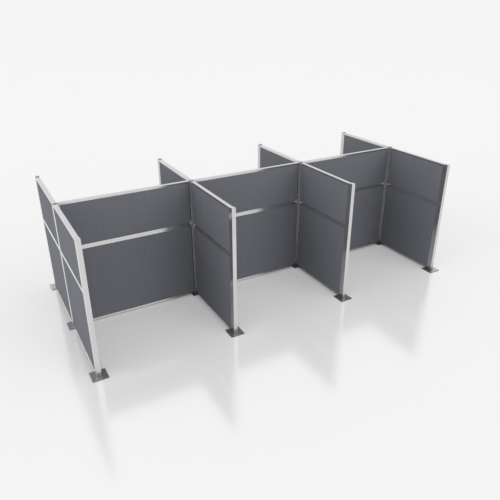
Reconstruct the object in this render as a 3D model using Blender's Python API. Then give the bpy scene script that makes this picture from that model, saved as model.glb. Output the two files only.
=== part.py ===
# A free-standing study carrel of six bays, two rows back to back along one spine.
# Framed fabric walls slide down between slotted posts, and each post stands on a square foot plate.
# Metres, +Z up. X runs along the spine, and the origin is on the floor under the spine's middle.
import math

import bmesh
import bpy

# Layout of the walls
BAYS_PER_ROW = 3
SPINE_WALL_WIDTH = 1.200
WING_WALL_WIDTH = 0.800
WALL_HEIGHT = 1.1965
MID_RAIL_CENTRE = 0.7625

# Gap between pieces that slide, seat or meet
FIT = 0.0003

# Posts: square extrusions with a T-slot on each side that takes a wall, closed on top by a cap
POST_SIZE = 0.036
POST_RISE = 0.003
POST_EDGE = 0.0012
POST_WALL = 0.002
SLOT_MOUTH = 0.008
SLOT_LIP = 0.0024
SLOT_WIDTH = 0.012
SLOT_DEPTH = 0.0065
CAP_THICKNESS = 0.003
CAP_EDGE = 0.001

# Wall frames: channel bars a step slimmer than the posts, and a middle rail with a channel above and below
FRAME_STEP = 0.001
FRAME_SIGHT = 0.019
FRAME_WALL = 0.002
FRAME_EDGE = 0.001
MID_RAIL_HEIGHT = 0.039

# Foot plates, each with a pin that plugs into its post's bore
PLATE_SIZE = 0.130
PLATE_THICKNESS = 0.006
PIN_DIAMETER = 0.010
PIN_LENGTH = 0.060
PIN_SIDES = 12

# Places and sizes that follow from the values above
POST_HALF = POST_SIZE / 2
FRAME_HALF = POST_HALF - FRAME_STEP
SPINE_PITCH = SPINE_WALL_WIDTH + 2 * FIT + POST_SIZE
WING_PITCH = WING_WALL_WIDTH + 2 * FIT + POST_SIZE
BASE_LEVEL = PLATE_THICKNESS + FIT
POST_LENGTH = WALL_HEIGHT + POST_RISE


def linear(red, green, blue):
    shares = [value / 255 for value in (red, green, blue)]
    return [s / 12.92 if s <= 0.04045 else ((s + 0.055) / 1.055) ** 2.4 for s in shares]


def make_material(name, colour, roughness, metallic):
    material = bpy.data.materials.new(name)
    material.use_nodes = True
    shader = material.node_tree.nodes["Principled BSDF"]
    shader.inputs["Base Color"].default_value = (*linear(*colour), 1.0)
    shader.inputs["Roughness"].default_value = roughness
    shader.inputs["Metallic"].default_value = metallic
    return material


def rectangle(left, right, low, high):
    return [(left, low), (right, low), (right, high), (left, high)]


def ring(radius):
    turns = [2 * math.pi * step / PIN_SIDES for step in range(PIN_SIDES)]
    return [(radius * math.cos(turn), radius * math.sin(turn)) for turn in turns]


def quarter_turn(point, count):
    for _ in range(count):
        point = (-point[1], point[0])
    return point


def edge_loop(bm, corners, points):
    for point in points:
        if point not in corners:
            corners[point] = bm.verts.new((*point, 0.0))
    verts = [corners[point] for point in points]
    pairs = list(zip(verts, verts[1:] + verts[:1]))
    return [bm.edges.get(pair) or bm.edges.new(pair) for pair in pairs]


# Flat faces at Z = 0. A region is an outline followed by its holes, and regions share their corners.
def fill_regions(bm, regions):
    corners = {}
    filled = []
    for region in regions:
        edges = [edge for loop in region for edge in edge_loop(bm, corners, loop)]
        made = bmesh.ops.triangle_fill(bm, edges=edges, use_beauty=True)["geom"]
        filled.append([item for item in made if isinstance(item, bmesh.types.BMFace)])
    return filled


# A flat sheet keeps its first faces and so becomes a solid; faces of a solid move outwards.
def extrude(bm, faces, offset, sheet=False):
    made = bmesh.ops.extrude_face_region(bm, geom=faces)["geom"]
    moved = [item for item in made if isinstance(item, bmesh.types.BMVert)]
    bmesh.ops.translate(bm, verts=moved, vec=offset)
    if not sheet:
        bmesh.ops.delete(bm, geom=faces, context="FACES")
    return made


def finish_mesh(bm, name):
    bmesh.ops.recalc_face_normals(bm, faces=bm.faces[:])
    mesh = bpy.data.meshes.new(name)
    bm.to_mesh(mesh)
    bm.free()
    return mesh


# A T-slot in a face at +X: the mouth, the undercut behind the lips and the bottom.
def slot_outline():
    mouth = SLOT_MOUTH / 2
    side = SLOT_WIDTH / 2
    lip = POST_HALF - SLOT_LIP
    bottom = POST_HALF - SLOT_DEPTH
    upper = [(POST_HALF, mouth), (lip, mouth), (lip, side), (bottom, side)]
    return [(x, -y) for x, y in upper] + upper[::-1]


# Sides are counted in quarter turns from +X. A side without a wall has a closed face over a hollow.
def post_mesh(name, slotted_sides):
    outline = []
    slots = []
    hollows = [ring(PIN_DIAMETER / 2 + FIT)]
    hollow_start = SLOT_WIDTH / 2 + POST_WALL
    hollow_end = POST_HALF - POST_WALL
    behind_face = rectangle(POST_HALF - SLOT_DEPTH, hollow_end, -SLOT_WIDTH / 2, SLOT_WIDTH / 2)
    in_corner = rectangle(hollow_start, hollow_end, hollow_start, hollow_end)
    for side in range(4):
        face = [(POST_HALF, POST_EDGE - POST_HALF), (POST_HALF, POST_HALF - POST_EDGE)]
        if side in slotted_sides:
            face[1:1] = slot_outline()
            slots.append([quarter_turn(point, side) for point in slot_outline()])
        else:
            hollows.append([quarter_turn(point, side) for point in behind_face])
        hollows.append([quarter_turn(point, side) for point in in_corner])
        outline += [quarter_turn(point, side) for point in face]
    bm = bmesh.new()
    openings = [[loop] for loop in slots + hollows]
    filled = fill_regions(bm, [[outline, *hollows], *openings])
    extrude(bm, bm.faces[:], (0.0, 0.0, CAP_THICKNESS - CAP_EDGE), sheet=True)
    top = [face for face in bm.faces if face.calc_center_median().z > CAP_THICKNESS - CAP_EDGE - FIT]
    made = extrude(bm, top, (0.0, 0.0, CAP_EDGE))
    for item in made:
        if isinstance(item, bmesh.types.BMVert):
            item.co.xy *= (POST_HALF - CAP_EDGE) / POST_HALF
    extrude(bm, filled[0], (0.0, 0.0, -POST_LENGTH))
    return finish_mesh(bm, name)


# Four corners of an upright rectangle at one depth of the wall.
def upright_loop(bm, left, right, low, high, depth):
    return [bm.verts.new((x, depth, z)) for x, z in rectangle(left, right, low, high)]


# Quads between neighbouring loops of a list.
def bridge(bm, loops):
    for near, far in zip(loops, loops[1:]):
        for index in range(len(near)):
            after = (index + 1) % len(near)
            bm.faces.new((near[index], near[after], far[after], far[index]))


# Each board's row, its window between the rails, and the channel around it, as heights in the wall.
def board_rows():
    return [
        (
            "lower",
            (FRAME_SIGHT, MID_RAIL_CENTRE - MID_RAIL_HEIGHT / 2),
            (FRAME_WALL, MID_RAIL_CENTRE - FRAME_WALL / 2),
        ),
        (
            "upper",
            (MID_RAIL_CENTRE + MID_RAIL_HEIGHT / 2, WALL_HEIGHT - FRAME_SIGHT),
            (MID_RAIL_CENTRE + FRAME_WALL / 2, WALL_HEIGHT - FRAME_WALL),
        ),
    ]


# The frame's outer surface from face to face, with a strip along its middle for the tongues.
def outer_loops(bm, half_width):
    neck = SLOT_MOUTH / 2 - FIT
    side = FRAME_HALF - FRAME_EDGE
    steps = [(-FRAME_HALF, FRAME_EDGE), (-side, 0.0), (-neck, 0.0)]
    steps += [(-depth, inset) for depth, inset in steps[::-1]]
    return [
        upright_loop(bm, inset - half_width, half_width - inset, inset, WALL_HEIGHT - inset, depth)
        for depth, inset in steps
    ]


# The surface inside one window: a lip at each face, and the channel between them that holds the board.
def window_loops(bm, half_width, window, channel):
    sight = half_width - FRAME_SIGHT
    reach = half_width - FRAME_WALL
    inner = FRAME_HALF - FRAME_WALL
    lip_depths = (-FRAME_HALF, -inner, inner, FRAME_HALF)
    lips = [upright_loop(bm, -sight, sight, *window, depth) for depth in lip_depths]
    floor = [upright_loop(bm, -reach, reach, *channel, depth) for depth in (-inner, inner)]
    return lips[:2] + floor + lips[2:]


# The T-shaped tongue on a stile's outer side, which slides in a post's slot.
def grow_tongue(bm, strip, outward):
    neck = SLOT_MOUTH / 2 - FIT
    head = SLOT_WIDTH / 2 - FIT
    shoulder = SLOT_LIP + 2 * FIT
    made = extrude(bm, [strip], (outward * shoulder, 0.0, 0.0))
    strip = next(item for item in made if isinstance(item, bmesh.types.BMFace))
    start = strip.calc_center_median().x
    extrude(bm, [strip], (outward * (SLOT_DEPTH - shoulder), 0.0, 0.0))
    for face in bm.faces[:]:
        centre = face.calc_center_median()
        if (centre.x - start) * outward > 0 and abs(centre.y) > neck / 2:
            extrude(bm, [face], (0.0, math.copysign(head - neck, centre.y), 0.0))


# A wall's frame, standing on the origin with its width along X.
def frame_mesh(name, width):
    bm = bmesh.new()
    outer = outer_loops(bm, width / 2)
    windows = [window_loops(bm, width / 2, window, channel) for _, window, channel in board_rows()]
    for loops in [outer, *windows]:
        bridge(bm, loops)
    for end in (0, -1):
        rims = [loops[end] for loops in [outer, *windows]]
        edges = [bm.edges.get(pair) for rim in rims for pair in zip(rim, rim[1:] + rim[:1])]
        bmesh.ops.triangle_fill(bm, edges=edges, use_beauty=True)
    for face in bm.faces[:]:
        centre = face.calc_center_median()
        if abs(centre.y) < FIT and abs(centre.x) > width / 2 - FIT:
            grow_tongue(bm, face, math.copysign(1.0, centre.x))
    return finish_mesh(bm, name)


# A fabric-covered board, which reaches into the frame's channel on all sides.
def board_mesh(name, width, channel):
    reach = width / 2 - FRAME_WALL - FIT
    face = FRAME_HALF - FRAME_WALL - FIT
    low, high = channel[0] + FIT, channel[1] - FIT
    bm = bmesh.new()
    fill_regions(bm, [[rectangle(-reach, reach, -face, face)]])
    extrude(bm, bm.faces[:], (0.0, 0.0, high - low), sheet=True)
    bmesh.ops.translate(bm, verts=bm.verts[:], vec=(0.0, 0.0, low))
    return finish_mesh(bm, name)


# A square plate with a pin in its middle.
def plate_mesh():
    half = PLATE_SIZE / 2
    pin = ring(PIN_DIAMETER / 2)
    bm = bmesh.new()
    fill_regions(bm, [[rectangle(-half, half, -half, half), pin], [pin]])
    top = extrude(bm, bm.faces[:], (0.0, 0.0, PLATE_THICKNESS), sheet=True)
    pin_faces = [
        item
        for item in top
        if isinstance(item, bmesh.types.BMFace)
        and all(vert.co.xy.length < PIN_DIAMETER / 2 + FIT for vert in item.verts)
    ]
    extrude(bm, pin_faces, (0.0, 0.0, PIN_LENGTH))
    return finish_mesh(bm, "foot_plate")


def put_object(name, mesh, material, parent, location, turn=0.0):
    if not mesh.materials:
        mesh.materials.append(material)
    piece = bpy.data.objects.new(name, mesh)
    piece.location = location
    piece.rotation_euler = (0.0, 0.0, turn)
    piece.parent = parent
    bpy.context.collection.objects.link(piece)


def column_places():
    columns = range(BAYS_PER_ROW + 1)
    return [(column + 1, (column - BAYS_PER_ROW / 2) * SPINE_PITCH) for column in columns]


# Every post with its name, place and slotted sides.
def post_list():
    posts = []
    for number, x in column_places():
        spine_sides = [1, 3]
        if number <= BAYS_PER_ROW:
            spine_sides.append(0)
        if number > 1:
            spine_sides.append(2)
        posts.append((f"spine_{number}", x, 0.0, spine_sides))
        posts.append((f"front_end_{number}", x, -WING_PITCH, [1]))
        posts.append((f"back_end_{number}", x, WING_PITCH, [3]))
    return posts


# Every wall with its name, place, turn and width.
def wall_list():
    walls = []
    for number, x in column_places():
        if number <= BAYS_PER_ROW:
            walls.append((f"spine_wall_{number}", x + SPINE_PITCH / 2, 0.0, 0.0, SPINE_WALL_WIDTH))
        walls.append((f"front_wing_{number}", x, -WING_PITCH / 2, math.pi / 2, WING_WALL_WIDTH))
        walls.append((f"back_wing_{number}", x, WING_PITCH / 2, math.pi / 2, WING_WALL_WIDTH))
    return walls


def build_posts(parent, aluminium, steel):
    plate = plate_mesh()
    for name, x, y, sides in post_list():
        post = post_mesh(f"{name}_post", sides)
        put_object(f"{name}_post", post, aluminium, parent, (x, y, BASE_LEVEL + POST_LENGTH))
        put_object(f"{name}_foot_plate", plate, steel, parent, (x, y, 0.0))


def build_walls(parent, aluminium, fabric):
    shapes = {}
    for name, x, y, turn, width in wall_list():
        if width not in shapes:
            boards = {row: board_mesh(f"{row}_board", width, channel) for row, _, channel in board_rows()}
            shapes[width] = (frame_mesh("wall_frame", width), boards)
        frame, boards = shapes[width]
        place = (x, y, BASE_LEVEL)
        put_object(f"{name}_frame", frame, aluminium, parent, place, turn)
        for row, board in boards.items():
            put_object(f"{name}_{row}_board", board, fabric, parent, place, turn)


for old in list(bpy.data.objects):
    bpy.data.objects.remove(old)
carrel = bpy.data.objects.new("study_carrel", None)
bpy.context.collection.objects.link(carrel)
satin_aluminium = make_material("satin anodised aluminium", (205, 207, 208), 0.25, 1.0)
satin_steel = make_material("satin steel plate", (120, 121, 123), 0.35, 1.0)
grey_fabric = make_material("charcoal ribbed fabric", (92, 94, 100), 0.9, 0.0)
build_posts(carrel, satin_aluminium, satin_steel)
build_walls(carrel, satin_aluminium, grey_fabric)
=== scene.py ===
import math

import bpy
from mathutils import Matrix, Vector


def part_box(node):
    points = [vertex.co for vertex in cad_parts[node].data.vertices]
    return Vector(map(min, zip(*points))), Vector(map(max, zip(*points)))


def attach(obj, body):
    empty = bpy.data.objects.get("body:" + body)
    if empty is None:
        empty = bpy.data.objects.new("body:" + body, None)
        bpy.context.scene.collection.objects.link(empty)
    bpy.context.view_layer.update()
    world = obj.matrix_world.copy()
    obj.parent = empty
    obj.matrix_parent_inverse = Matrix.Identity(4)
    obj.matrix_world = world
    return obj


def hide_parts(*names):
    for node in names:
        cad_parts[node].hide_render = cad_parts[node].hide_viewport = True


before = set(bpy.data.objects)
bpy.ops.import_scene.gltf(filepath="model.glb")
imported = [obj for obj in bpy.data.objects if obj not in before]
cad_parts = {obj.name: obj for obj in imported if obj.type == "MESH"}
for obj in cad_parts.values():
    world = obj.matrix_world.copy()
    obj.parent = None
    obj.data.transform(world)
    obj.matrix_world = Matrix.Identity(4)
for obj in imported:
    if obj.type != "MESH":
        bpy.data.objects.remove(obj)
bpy.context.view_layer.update()  # 57 nodes on one body, at their real size in metres
mm = 0.001
hair = 0.01 * mm  # slack when places are compared
facingUp = 0.5  # a normal that rises more than this faces up
cornerSteps = 3  # faces across a rounded corner
edgeSteps = 2  # faces across a broken edge
turnAngles = {"bevelled": 40, "creased": 35, "flat": 1}  # degrees between neighbouring faces
print("frame loaded:", len(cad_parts), "nodes")


# Shared tools

def hexColour(code):  # sRGB hex to the linear colour that sockets take
    shares = [int(code[place:place + 2], 16) / 255 for place in (0, 2, 4)]
    return [s / 12.92 if s <= 0.04045 else ((s + 0.055) / 1.055) ** 2.4 for s in shares] + [1.0]


def greyLevel(share):
    return (share, share, share, 1.0)


def addNode(tree, kind, inputs=None, **settings):  # an input is a value, or the socket that feeds it
    node = tree.nodes.new(kind)
    for name, value in settings.items():
        setattr(node, name, value)
    for name, value in (inputs or {}).items():
        if isinstance(value, bpy.types.NodeSocket):
            tree.links.new(value, node.inputs[name])
        else:
            node.inputs[name].default_value = value
    return node


def newMaterial(name):
    material = bpy.data.materials.new(name)
    material.use_nodes = True
    return material, material.node_tree, material.node_tree.nodes["Principled BSDF"]


def onlySelect(piece):
    bpy.ops.object.select_all(action="DESELECT")
    piece.select_set(True)
    bpy.context.view_layer.objects.active = piece


def startBox(name, size, place):  # a cube at its size and place, left in edit mode
    bpy.ops.object.select_all(action="DESELECT")
    bpy.ops.mesh.primitive_cube_add(size=1.0, location=place, scale=size)
    bpy.ops.object.transform_apply(location=True, rotation=True, scale=True)
    piece = bpy.context.active_object
    piece.name = name
    bpy.ops.object.mode_set(mode="EDIT")
    return piece


def pickFaces(piece, wanted):  # wanted(centre, normal)
    bpy.ops.mesh.select_mode(type="FACE")
    bpy.ops.mesh.select_all(action="DESELECT")
    bpy.ops.object.mode_set(mode="OBJECT")
    for face in piece.data.polygons:
        face.select = wanted(face.center, face.normal)
    bpy.ops.object.mode_set(mode="EDIT")


def pickEdges(piece, wanted):  # wanted(one end, other end)
    bpy.ops.mesh.select_mode(type="EDGE")
    bpy.ops.mesh.select_all(action="DESELECT")
    bpy.ops.object.mode_set(mode="OBJECT")
    points = piece.data.vertices
    for edge in piece.data.edges:
        edge.select = wanted(*[points[index].co for index in edge.vertices])
    bpy.ops.object.mode_set(mode="EDIT")


def moveOut(x=0.0, y=0.0, z=0.0):  # extrudes what is selected
    bpy.ops.mesh.extrude_region_move(TRANSFORM_OT_translate={"value": (x, y, z)})


def softenEdges(piece, width):  # a small radius on every sharp edge
    onlySelect(piece)
    bevel = piece.modifiers.new("soft edges", "BEVEL")
    bevel.width = width
    bevel.segments = edgeSteps
    bevel.limit_method = "ANGLE"
    bevel.angle_limit = math.radians(turnAngles["bevelled"])
    bpy.ops.object.modifier_apply(modifier=bevel.name)


def smoothCorners(piece):  # round corners shade as round, flat faces stay flat
    onlySelect(piece)
    bpy.ops.object.shade_smooth_by_angle(angle=math.radians(turnAngles["creased"]))
    weighted = piece.modifiers.new("flat faces", "WEIGHTED_NORMAL")
    weighted.keep_sharp = True
    bpy.ops.object.modifier_apply(modifier=weighted.name)


def copyTo(model, name, place, turn=0.0):  # a copy with its own mesh, its place in the mesh
    piece = bpy.data.objects.new(name, model.data.copy())
    piece.data.name = name
    piece.data.transform(Matrix.Translation(place) @ Matrix.Rotation(turn, 4, "Z"))
    bpy.context.collection.objects.link(piece)
    return piece


def handOver(piece, node, materials):
    for place, material in enumerate(materials):  # clear() would lose which face takes which
        if place < len(piece.data.materials):
            piece.data.materials[place] = material
        else:
            piece.data.materials.append(material)
    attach(piece, "root")
    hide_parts(node)


def dropModel(model):
    bpy.data.objects.remove(model)


# Materials

aluminiumLook = {
    "paleTone": "CFCFCF",
    "greyTone": "C8C8C8",
    "roughness": (0.13, 0.19),
    "drawLine": 1.2 * mm,  # real draw lines are about 0.2 mm apart; drawn coarser so that they show
    "drawLength": 0.5,
    "lineDepth": 0.02 * mm,
    "lineStrength": 0.3,
    "lineRange": (0.3, 0.7),  # noise values over which the roughness rises
    "lineDetail": 2.0,
    "cloudSize": 0.35,
    "cloudRange": (0.35, 0.65),  # noise values over which the pale tone turns grey
    "cloudDetail": 3.0,
    "paintedShadeReach": 130 * mm,  # painted shade: the colour is darkened this near to an inside corner
    "metal": 0.95,  # the oxide film scatters the rest
}


def anodisedAluminium(name, along):
    # Extruded, etched and clear anodised: pale grey, soft mirror, faint draw lines down each bar; painted
    # shade darkens the colour near inside corners
    material, tree, shader = newMaterial(name)
    across = 1 / aluminiumLook["drawLine"]
    stretch = [1 / aluminiumLook["drawLength"] if axis == along else across for axis in "xyz"]
    coords = addNode(tree, "ShaderNodeTexCoord")
    mapping = addNode(tree, "ShaderNodeMapping", {"Vector": coords.outputs["Object"], "Scale": stretch})
    lines = addNode(tree, "ShaderNodeTexNoise", {
        "Vector": mapping.outputs["Vector"], "Scale": 1.0, "Detail": aluminiumLook["lineDetail"]})
    clouds = addNode(tree, "ShaderNodeTexNoise", {
        "Vector": coords.outputs["Object"],
        "Scale": 1 / aluminiumLook["cloudSize"],
        "Detail": aluminiumLook["cloudDetail"],
    })
    blend = addNode(tree, "ShaderNodeValToRGB", {"Fac": clouds.outputs["Fac"]})
    pale, grey = blend.color_ramp.elements
    pale.position, grey.position = aluminiumLook["cloudRange"]
    pale.color, grey.color = hexColour(aluminiumLook["paleTone"]), hexColour(aluminiumLook["greyTone"])
    smooth, rough = aluminiumLook["roughness"]
    start, end = aluminiumLook["lineRange"]
    finish = addNode(tree, "ShaderNodeMapRange", {
        "Value": lines.outputs["Fac"], "From Min": start, "From Max": end, "To Min": smooth, "To Max": rough})
    bump = addNode(tree, "ShaderNodeBump", {
        "Height": lines.outputs["Fac"],
        "Strength": aluminiumLook["lineStrength"],
        "Distance": aluminiumLook["lineDepth"],
    })
    # painted shade: the base colour darkens near inside corners, where shade falls
    paintedCornerShade = addNode(tree, "ShaderNodeAmbientOcclusion", {
        "Color": blend.outputs["Color"], "Distance": aluminiumLook["paintedShadeReach"]})
    tree.links.new(paintedCornerShade.outputs["Color"], shader.inputs["Base Color"])
    tree.links.new(finish.outputs["Result"], shader.inputs["Roughness"])
    tree.links.new(bump.outputs["Normal"], shader.inputs["Normal"])
    shader.inputs["Metallic"].default_value = aluminiumLook["metal"]
    return material


fabricLook = {
    "darkYarn": "5D5F64",
    "lightYarn": "63656B",
    "rib": 2.6 * mm,
    "weft": 1.7 * mm,
    "weftShare": 0.4,  # how high the cross threads stand against the ribs
    "threadDepth": 0.25 * mm,
    "threadStrength": 0.5,
    "weaveTint": 0.12,  # how much the weave shifts the tone against the streaks
    "streakWidth": 9 * mm,  # yarns that took the dye a little unevenly
    "streakLength": 0.45,
    "streakDetail": 4.0,
    "streakRange": (0.25, 0.75),  # noise values over which dark yarn turns light
    "roughness": 0.92,
    "sheen": 0.03,
    "specular": 0.2,
}


def panelFabric():
    # Woven polyester panel cloth: charcoal, matt, fine upright ribs and faint upright streaks
    material, tree, shader = newMaterial("woven polyester cloth")
    coords = addNode(tree, "ShaderNodeTexCoord")
    place = addNode(tree, "ShaderNodeSeparateXYZ", {"Vector": coords.outputs["Object"]})
    run = addNode(tree, "ShaderNodeMath", {0: place.outputs["X"], 1: place.outputs["Y"]}, operation="ADD")
    ribTurn = addNode(tree, "ShaderNodeMath",
                      {0: run.outputs["Value"], 1: math.tau / fabricLook["rib"]}, operation="MULTIPLY")
    rib = addNode(tree, "ShaderNodeMath", {0: ribTurn.outputs["Value"]}, operation="SINE")
    weftTurn = addNode(tree, "ShaderNodeMath",
                       {0: place.outputs["Z"], 1: math.tau / fabricLook["weft"]}, operation="MULTIPLY")
    weft = addNode(tree, "ShaderNodeMath", {0: weftTurn.outputs["Value"]}, operation="SINE")
    weave = addNode(tree, "ShaderNodeMath",
                    {0: weft.outputs["Value"], 1: fabricLook["weftShare"], 2: rib.outputs["Value"]},
                    operation="MULTIPLY_ADD")
    streakScale = [1 / fabricLook[size] for size in ("streakWidth", "streakWidth", "streakLength")]
    mapping = addNode(tree, "ShaderNodeMapping", {"Vector": coords.outputs["Object"], "Scale": streakScale})
    streaks = addNode(tree, "ShaderNodeTexNoise", {
        "Vector": mapping.outputs["Vector"], "Scale": 1.0, "Detail": fabricLook["streakDetail"]})
    tint = addNode(tree, "ShaderNodeMath",
                   {0: weave.outputs["Value"], 1: fabricLook["weaveTint"], 2: streaks.outputs["Fac"]},
                   operation="MULTIPLY_ADD")
    yarn = addNode(tree, "ShaderNodeValToRGB", {"Fac": tint.outputs["Value"]})
    dark, light = yarn.color_ramp.elements
    dark.position, light.position = fabricLook["streakRange"]
    dark.color, light.color = hexColour(fabricLook["darkYarn"]), hexColour(fabricLook["lightYarn"])
    bump = addNode(tree, "ShaderNodeBump", {
        "Height": weave.outputs["Value"],
        "Strength": fabricLook["threadStrength"],
        "Distance": fabricLook["threadDepth"],
    })
    tree.links.new(yarn.outputs["Color"], shader.inputs["Base Color"])
    tree.links.new(bump.outputs["Normal"], shader.inputs["Normal"])
    shader.inputs["Roughness"].default_value = fabricLook["roughness"]
    shader.inputs["Sheen Weight"].default_value = fabricLook["sheen"]
    shader.inputs["Specular IOR Level"].default_value = fabricLook["specular"]
    return material


steelLook = {
    "paleTone": "B6B7B6",
    "greyTone": "ACADAC",
    "roughness": (0.30, 0.40),
    "grain": 2.0 * mm,  # rolled grain is finer; drawn coarser so that it shows
    "grainLength": 60 * mm,
    "grainDepth": 0.02 * mm,
}
# the edge tones are painted shade: a darker copy of the plate steel for the upright sides
shearedShadedLook = {
    "paleTone": "5E5F5D",
    "greyTone": "535452",
    "roughness": (0.5, 0.65),
    "grain": 1.5 * mm,  # shear marks are finer; drawn coarser so that they show
    "grainLength": 12 * mm,
    "grainDepth": 0.05 * mm,
}
grainLook = {  # for both
    "detail": 3.0,
    "range": (0.3, 0.7),  # noise values over which tone and roughness change
    "strength": 0.3,
}


def plateSteel(name, look, along):
    # Cold-rolled plate. Its face is brushed and clear lacquered: grey, blurred mirror, short rolling grain.
    # Its edges are sheared and left as cut: duller, with marks that run up the edge; their darker tone is
    # painted shade.
    material, tree, shader = newMaterial(name)
    coords = addNode(tree, "ShaderNodeTexCoord")
    stretch = [1 / look["grainLength" if axis == along else "grain"] for axis in "xyz"]
    mapping = addNode(tree, "ShaderNodeMapping", {"Vector": coords.outputs["Object"], "Scale": stretch})
    grain = addNode(tree, "ShaderNodeTexNoise", {
        "Vector": mapping.outputs["Vector"], "Scale": 1.0, "Detail": grainLook["detail"]})
    start, end = grainLook["range"]
    tone = addNode(tree, "ShaderNodeValToRGB", {"Fac": grain.outputs["Fac"]})
    pale, grey = tone.color_ramp.elements
    pale.position, grey.position = start, end
    pale.color, grey.color = hexColour(look["paleTone"]), hexColour(look["greyTone"])
    smooth, rough = look["roughness"]
    finish = addNode(tree, "ShaderNodeMapRange", {
        "Value": grain.outputs["Fac"], "From Min": start, "From Max": end, "To Min": smooth, "To Max": rough})
    bump = addNode(tree, "ShaderNodeBump", {
        "Height": grain.outputs["Fac"], "Strength": grainLook["strength"], "Distance": look["grainDepth"]})
    tree.links.new(tone.outputs["Color"], shader.inputs["Base Color"])
    tree.links.new(finish.outputs["Result"], shader.inputs["Roughness"])
    tree.links.new(bump.outputs["Normal"], shader.inputs["Normal"])
    shader.inputs["Metallic"].default_value = 1.0
    return material


metalAlong = {axis: anodisedAluminium("anodised aluminium along " + axis, axis) for axis in "xyz"}
fabric = panelFabric()
plateMetals = [
    plateSteel("satin steel plate", steelLook, "x"),
    plateSteel("sheared steel edge with painted shade", shearedShadedLook, "z"),
]
print("materials made")


# Posts: one extrusion for each pattern of slots, with a cap on top

postShape = {
    "slotMouth": 8 * mm,
    "slotWidth": 12 * mm,
    "slotLip": 2.4 * mm,
    "slotDepth": 6.5 * mm,
    "bore": 10.6 * mm,
    "cornerRadius": 0.5 * mm,
    "capThickness": 3 * mm,
    "capGap": 0.3 * mm,
    "capEdge": 0.8 * mm,
    "inLine": 0.999,  # cosine within which two posts count as lined up
}


def slottedSides(node, posts):  # outward directions in which a wall meets this post
    low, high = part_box(node)
    middle = (low + high) / 2
    others = [sum(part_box(post), Vector()) / 2 for post in posts if post != node]
    sides = []
    onSpine = abs(middle.y) < high.x - low.x
    for x, y in ((1, 0), (0, 1), (-1, 0), (0, -1)):
        turns = [(other - middle).normalized().dot((x, y, 0)) for other in others]
        if max(turns) > postShape["inLine"] and (x == 0 or onSpine):
            sides.append((x, y))
    return tuple(sides)


def modelPost(size, length, sides):
    half = size / 2
    mouth, slot, bore = (postShape[name] / 2 for name in ("slotMouth", "slotWidth", "bore"))
    lip, bottom = (half - postShape[name] for name in ("slotLip", "slotDepth"))
    bpy.ops.object.select_all(action="DESELECT")
    bpy.ops.mesh.primitive_plane_add(size=size)
    post = bpy.context.active_object
    bpy.ops.object.mode_set(mode="EDIT")
    for cut in (mouth, slot, bore, lip, bottom):  # score the section on both axes
        for normal in ((1, 0, 0), (-1, 0, 0), (0, 1, 0), (0, -1, 0)):
            bpy.ops.mesh.select_all(action="SELECT")
            bpy.ops.mesh.bisect(plane_co=Vector(normal) * cut, plane_no=normal)

    def isOpen(centre, normal):
        if max(abs(centre.x), abs(centre.y)) < bore:
            return True
        for x, y in sides:
            out, aside = centre.x * x + centre.y * y, abs(centre.x * y - centre.y * x)
            if (out > bottom and aside < mouth) or (bottom < out < lip and aside < slot):
                return True
        return False

    pickFaces(post, isOpen)
    bpy.ops.mesh.delete(type="FACE")
    bpy.ops.mesh.select_all(action="SELECT")
    moveOut(z=length)
    bpy.ops.mesh.select_all(action="SELECT")
    bpy.ops.mesh.normals_make_consistent(inside=False)
    bpy.ops.mesh.dissolve_limited(angle_limit=math.radians(turnAngles["flat"]))
    pickEdges(post, lambda a, b: abs(a.z - b.z) > length / 2 and min(abs(a.x), abs(a.y)) > half - hair)
    bpy.ops.mesh.bevel(offset=postShape["cornerRadius"], segments=cornerSteps, affect="EDGES")
    bpy.ops.object.mode_set(mode="OBJECT")
    smoothCorners(post)
    return post


def modelCap(size):
    height = postShape["capThickness"]
    half = size / 2
    cap = startBox("cap", (size, size, height), (0, 0, height / 2))
    pickEdges(cap, lambda a, b: abs(a.z - b.z) > height / 2)
    bpy.ops.mesh.bevel(offset=postShape["cornerRadius"], segments=cornerSteps, affect="EDGES")
    pickEdges(cap, lambda a, b: min(a.z, b.z) > height - hair and max(abs(a.x), abs(a.y)) > half / 2)
    bpy.ops.mesh.bevel(offset=postShape["capEdge"], segments=cornerSteps, affect="EDGES")
    bpy.ops.object.mode_set(mode="OBJECT")
    smoothCorners(cap)
    return cap


postNodes = sorted(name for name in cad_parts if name.endswith("_post"))
postModels = {}
low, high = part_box(postNodes[0])
capModel = modelCap(high.x - low.x)
for node in postNodes:
    low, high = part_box(node)
    middle = (low + high) / 2
    sides = slottedSides(node, postNodes)
    if sides not in postModels:
        length = high.z - low.z - postShape["capThickness"] - postShape["capGap"]
        postModels[sides] = modelPost(high.x - low.x, length, sides)
    post = copyTo(postModels[sides], node + "_extrusion", (middle.x, middle.y, low.z))
    handOver(post, node, [metalAlong["z"]])
    cap = copyTo(capModel, node + "_cap", (middle.x, middle.y, high.z - postShape["capThickness"]))
    handOver(cap, node, [metalAlong["x"]])
for model in [capModel, *postModels.values()]:
    dropModel(model)
print("posts made:", len(postNodes), "in", len(postModels), "patterns")


# Foot plates, each with the pin that plugs into its post

plateShape = {
    "thickness": 6 * mm,
    "cornerRadius": 2 * mm,
    "topEdge": 0.8 * mm,
    "pinRadius": 5 * mm,
    "pinSides": 24,
    "pinTip": 1 * mm,
}


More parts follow.
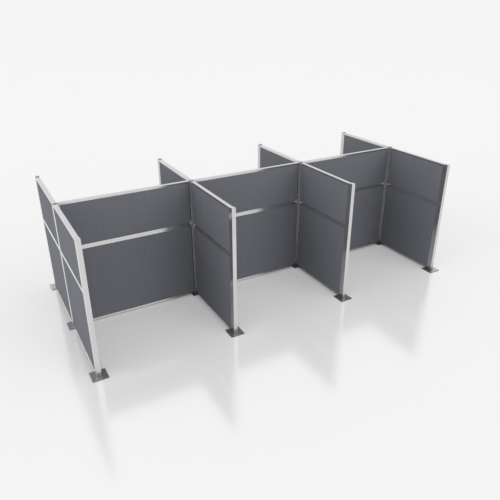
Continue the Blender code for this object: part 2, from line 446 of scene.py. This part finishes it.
def modelPlate(size, height):
    thickness, tip = plateShape["thickness"], plateShape["pinTip"]
    plate = startBox("plate", (size, size, thickness), (0, 0, thickness / 2))
    pickEdges(plate, lambda a, b: abs(a.z - b.z) > thickness / 2)
    bpy.ops.mesh.bevel(offset=plateShape["cornerRadius"], segments=cornerSteps, affect="EDGES")
    pickEdges(plate, lambda a, b: min(a.z, b.z) > thickness / 2)
    bpy.ops.mesh.bevel(offset=plateShape["topEdge"], segments=edgeSteps, affect="EDGES")
    bpy.ops.mesh.select_all(action="DESELECT")
    bpy.ops.mesh.primitive_cylinder_add(vertices=plateShape["pinSides"], radius=plateShape["pinRadius"],
                                        depth=height - thickness, location=(0, 0, (height + thickness) / 2))
    pickEdges(plate, lambda a, b: min(a.z, b.z) > height - tip / 2)
    bpy.ops.mesh.bevel(offset=tip, segments=edgeSteps, affect="EDGES")
    bpy.ops.object.mode_set(mode="OBJECT")
    smoothCorners(plate)
    for face in plate.data.polygons:
        face.material_index = int(abs(face.normal.z) < facingUp)  # face, then the edge in its painted-shade tone
    return plate


plateNodes = sorted(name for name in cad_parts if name.endswith("_foot_plate"))
low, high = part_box(plateNodes[0])
plateModel = modelPlate(high.x - low.x, high.z - low.z)
for node in plateNodes:
    low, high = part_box(node)
    plate = copyTo(plateModel, node + "_with_pin", ((low.x + high.x) / 2, (low.y + high.y) / 2, low.z))
    handOver(plate, node, plateMetals)
dropModel(plateModel)
print("foot plates made:", len(plateNodes))


# Walls: two tiles one on the other, each a fabric board in four mitred channel bars

tileShape = {
    "sight": 19 * mm,
    "midRail": 39 * mm,
    "channelWall": 2 * mm,
    "fit": 0.3 * mm,
    "outerEdge": 0.4 * mm,
    "seamEdge": 0.2 * mm,
    "clothRadius": 2 * mm,
}


def modelBar(length, depth, sight, sightsBeside):  # along X, outer face at z = 0, channel open upwards
    wall = tileShape["channelWall"]
    bar = startBox("bar", (length, depth, sight), (0, 0, sight / 2))
    pickFaces(bar, lambda centre, normal: normal.z > facingUp)
    bpy.ops.mesh.inset(thickness=wall)
    moveOut(z=wall - sight)
    pickEdges(bar, lambda a, b: max(a.z, b.z) < wall / 2 and abs(a.x - b.x) > length / 2)
    bpy.ops.mesh.bevel(offset=tileShape["outerEdge"], segments=cornerSteps, affect="EDGES")
    for end, beside in zip((-1, 1), sightsBeside):  # the mitres run from the outer corner to the inner one
        bpy.ops.mesh.select_all(action="SELECT")
        bpy.ops.mesh.bisect(plane_co=(end * length / 2, 0, 0), plane_no=(end * sight, 0, beside),
                            use_fill=True, clear_outer=True)
    bpy.ops.object.mode_set(mode="OBJECT")
    softenEdges(bar, tileShape["seamEdge"])
    smoothCorners(bar)
    return bar


def modelTile(width, depth, height, lowSight, highSight):  # origin at the middle of the bottom edge
    stileSight = tileShape["sight"]
    stiles = (stileSight, stileSight)
    bars = [
        (width, lowSight, stiles, (0, 0, 0), 0),
        (width, highSight, stiles, (0, 0, height), math.pi),
        (height, stileSight, (highSight, lowSight), (-width / 2, 0, height / 2), math.pi / 2),
        (height, stileSight, (lowSight, highSight), (width / 2, 0, height / 2), -math.pi / 2),
    ]
    made = []
    for number, (length, sight, beside, place, turn) in enumerate(bars):
        bar = modelBar(length, depth, sight, beside)
        bar.data.transform(Matrix.Translation(place) @ Matrix.Rotation(turn, 4, "Y"))
        bar.data.materials.append(metalAlong["x" if number < 2 else "z"])
        made.append(bar)
    bpy.ops.object.select_all(action="DESELECT")
    for bar in made:
        bar.select_set(True)
    bpy.context.view_layer.objects.active = made[0]
    bpy.ops.object.join()
    return made[0]


def modelBoard(width, depth, height):
    board = startBox("board", (width, depth, height), (0, 0, height / 2))
    bpy.ops.mesh.select_all(action="SELECT")
    bpy.ops.mesh.bevel(offset=tileShape["clothRadius"], segments=cornerSteps, affect="EDGES")
    bpy.ops.object.mode_set(mode="OBJECT")
    smoothCorners(board)
    return board


wallNames = sorted(name[:-len("_frame")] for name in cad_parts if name.endswith("_frame"))
grip = tileShape["channelWall"] + tileShape["fit"]
tileModels = {}
for wall in wallNames:
    frameLow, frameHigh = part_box(wall + "_frame")
    lowerLow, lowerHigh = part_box(wall + "_lower_board")
    upperLow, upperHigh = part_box(wall + "_upper_board")
    middle = (frameLow + frameHigh) / 2
    spread = lowerHigh - lowerLow
    alongX = spread.x > spread.y
    width = max(spread.x, spread.y) + 2 * grip
    depth = min(frameHigh.x - frameLow.x, frameHigh.y - frameLow.y)
    seam = (lowerHigh.z + upperLow.z) / 2
    halfFit = tileShape["fit"] / 2
    seamSight = tileShape["midRail"] / 2 - halfFit
    tiles = {
        "lower": (frameLow.z, seam - halfFit, tileShape["sight"], seamSight),
        "upper": (seam + halfFit, frameHigh.z, seamSight, tileShape["sight"]),
    }
    turn = 0.0 if alongX else math.pi / 2
    tileMetals = [metalAlong["x" if alongX else "y"], metalAlong["z"]]
    for row, (bottom, top, lowSight, highSight) in tiles.items():
        key = (row, round(width / mm))
        if key not in tileModels:
            boardDepth = min(spread.x, spread.y)
            tileModels[key] = (
                modelTile(width, depth, top - bottom, lowSight, highSight),
                modelBoard(width - 2 * grip, boardDepth, top - bottom - 2 * grip),
            )
        tileModel, boardModel = tileModels[key]
        name = wall + "_" + row
        tile = copyTo(tileModel, name + "_bars", (middle.x, middle.y, bottom), turn)
        handOver(tile, wall + "_frame", tileMetals)
        board = copyTo(boardModel, name + "_cloth_board", (middle.x, middle.y, bottom + grip), turn)
        handOver(board, name + "_board", [fabric])
for models in tileModels.values():
    for model in models:
        dropModel(model)
print("walls made:", len(wallNames), "from", len(tileModels), "tiles")


# Floor, backdrop, light and camera

floorLook = {
    "paint": 0.305,  # share of the light that the white paint scatters
    "mirror": 0.225,  # share that its lacquer mirrors
    "glow": 0.29,  # keeps wide shadows faint
    "paintedShadowReach": 60 * mm,  # nearer than this to a piece, the floor's glow is painted darker as a contact shadow
    "paintInMetal": 0.29,  # the same two shares for the floor as the metal mirrors it
    "mirrorInMetal": 0.6,
    "roughness": 0.14,
    "width": 8000.0,  # the metal mirrors it as far as the horizon
}


def floorCoat(tree, paint, mirror):
    scatter = addNode(tree, "ShaderNodeBsdfDiffuse", {"Color": greyLevel(paint)})
    gloss = addNode(tree, "ShaderNodeBsdfGlossy", {
        "Color": greyLevel(mirror), "Roughness": floorLook["roughness"]})
    coat = addNode(tree, "ShaderNodeAddShader", {0: scatter.outputs["BSDF"], 1: gloss.outputs["BSDF"]})
    return coat.outputs["Shader"]


def studioFloor():
    bpy.ops.object.select_all(action="DESELECT")
    bpy.ops.mesh.primitive_plane_add(size=floorLook["width"])
    floor = bpy.context.active_object
    floor.name = "studio_floor"
    material, tree, shader = newMaterial("pale lacquered floor")
    tree.nodes.remove(shader)
    # painted shadow: the glow is darkened near pieces
    shade = addNode(tree, "ShaderNodeAmbientOcclusion", {
        "Color": greyLevel(floorLook["glow"]), "Distance": floorLook["paintedShadowReach"]})
    glow = addNode(tree, "ShaderNodeEmission", {"Color": shade.outputs["Color"]})
    seen = addNode(tree, "ShaderNodeAddShader", {
        0: floorCoat(tree, floorLook["paint"], floorLook["mirror"]), 1: glow.outputs["Emission"]})
    inMetal = floorCoat(tree, floorLook["paintInMetal"], floorLook["mirrorInMetal"])
    ray = addNode(tree, "ShaderNodeLightPath")
    surface = addNode(tree, "ShaderNodeMixShader", {
        0: ray.outputs["Is Glossy Ray"], 1: seen.outputs["Shader"], 2: inMetal})
    tree.links.new(surface.outputs["Shader"], tree.nodes["Material Output"].inputs["Surface"])
    floor.data.materials.append(material)
    floor.visible_shadow = False  # keeps it out of the metal's painted corner shade


backdropLook = {
    "radius": 60.0,  # well inside the floor's edge, so that the floor runs up to it
    "level": 0.911,  # as bright as the far floor, which hides where the two meet
    "segments": 96,
    "rings": 48,
}


def studioBackdrop():
    bpy.ops.object.select_all(action="DESELECT")
    bpy.ops.mesh.primitive_uv_sphere_add(
        radius=backdropLook["radius"], segments=backdropLook["segments"], ring_count=backdropLook["rings"])
    backdrop = bpy.context.active_object
    backdrop.name = "studio_backdrop"
    material, tree, shader = newMaterial("pale paper backdrop")
    tree.nodes.remove(shader)
    paper = addNode(tree, "ShaderNodeEmission", {"Color": greyLevel(backdropLook["level"])})
    tree.links.new(paper.outputs["Emission"], tree.nodes["Material Output"].inputs["Surface"])
    material.cycles.emission_sampling = "NONE"  # it is seen, and lights nothing
    backdrop.data.materials.append(material)
    backdrop.visible_diffuse = False
    backdrop.visible_glossy = False
    backdrop.visible_shadow = False


lightLook = {
    "skyLevel": 1.0,
    "lamps": {  # watts per square metre, and where the light comes from
        "left_softbox": (1.25, (-0.94, 0.0, 0.34)),
        "front_softbox": (1.3, (0.40, -0.78, 0.48)),
    },
    "lampWidth": 50,  # degrees
}


def studioLight():
    world = bpy.data.worlds.new("soft studio")
    bpy.context.scene.world = world
    world.use_nodes = True
    sky = world.node_tree.nodes["Background"]
    sky.inputs["Color"].default_value = greyLevel(1.0)
    sky.inputs["Strength"].default_value = lightLook["skyLevel"]
    for name, (level, towards) in lightLook["lamps"].items():
        lamp = bpy.data.objects.new(name, bpy.data.lights.new(name, "SUN"))
        bpy.context.collection.objects.link(lamp)
        lamp.data.energy = level
        lamp.data.angle = math.radians(lightLook["lampWidth"])
        lamp.rotation_euler = Vector(towards).to_track_quat("Z", "Y").to_euler()
        lamp.visible_glossy = False  # the metal mirrors the room, not the lamps


cameraView = {
    "place": (-2.4391, -4.3500, 2.7200),
    "heading": 29.40,  # degrees from +Y towards +X
    "tilt": 25.58,  # degrees down
    "roll": -0.1,
    "lens": 37.53,
    "sensor": 36.0,
}


def studioCamera():
    camera = bpy.data.objects.new("camera", bpy.data.cameras.new("camera"))
    bpy.context.collection.objects.link(camera)
    camera.data.lens = cameraView["lens"]
    camera.data.sensor_width = cameraView["sensor"]
    camera.location = cameraView["place"]
    turn = Matrix.Rotation(-math.radians(cameraView["heading"]), 4, "Z")
    tip = Matrix.Rotation(math.radians(90 - cameraView["tilt"]), 4, "X")
    lean = Matrix.Rotation(math.radians(cameraView["roll"]), 4, "Z")
    camera.rotation_euler = (turn @ tip @ lean).to_euler()
    camera.data.clip_end = floorLook["width"]  # sees as far as the floor goes
    bpy.context.scene.camera = camera


studioFloor()
studioBackdrop()
studioLight()
studioCamera()
bpy.context.scene.view_settings.view_transform = "Standard"  # pale floor stays pale
print("studio made")
